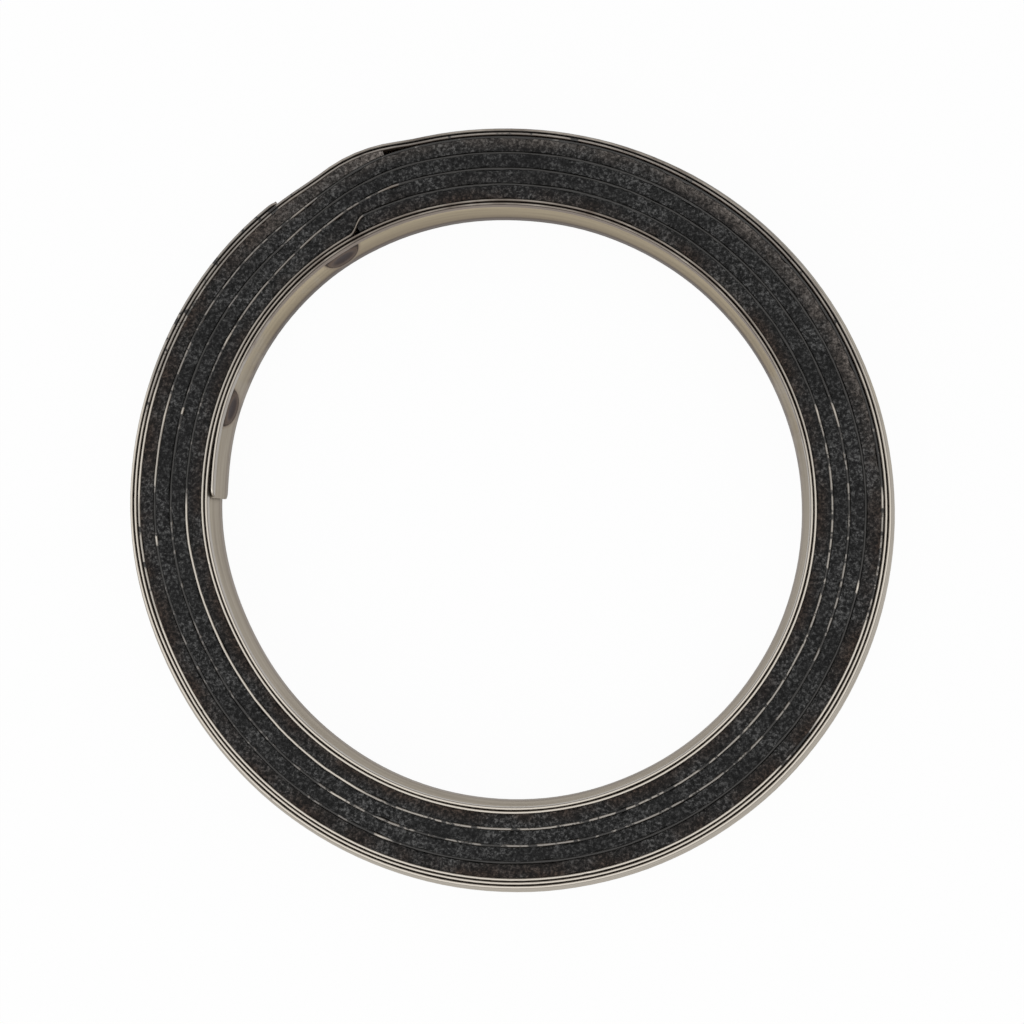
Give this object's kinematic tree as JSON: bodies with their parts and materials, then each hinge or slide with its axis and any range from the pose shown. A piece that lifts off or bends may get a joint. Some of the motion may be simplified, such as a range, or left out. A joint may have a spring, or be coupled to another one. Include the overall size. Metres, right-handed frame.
{
  "type": "spiral wound gasket",
  "caption": "Flat ring gasket: a V-section steel strip and a graphite strip rolled up together, for sealing a round flanged pipe joint.",
  "frame": {"origin": "on the bore axis, in the plane of the lower sealing face", "axes": "+Z along the bore axis, up from the face the ring lies on; the steel strip's inner free end is near -X"},
  "size_m": [0.0621, 0.062, 0.005],
  "materials": {
    "steel": "rolled stainless strip with a light straw heat tint and dark tints round the spot welds",
    "graphite": "matte dark grey flexible graphite, fibrous, stained brown in places"
  },
  "bodies": {
    "root": {"steel_winding": "steel", "graphite_filler": "graphite"}
  },
  "joints": []
}
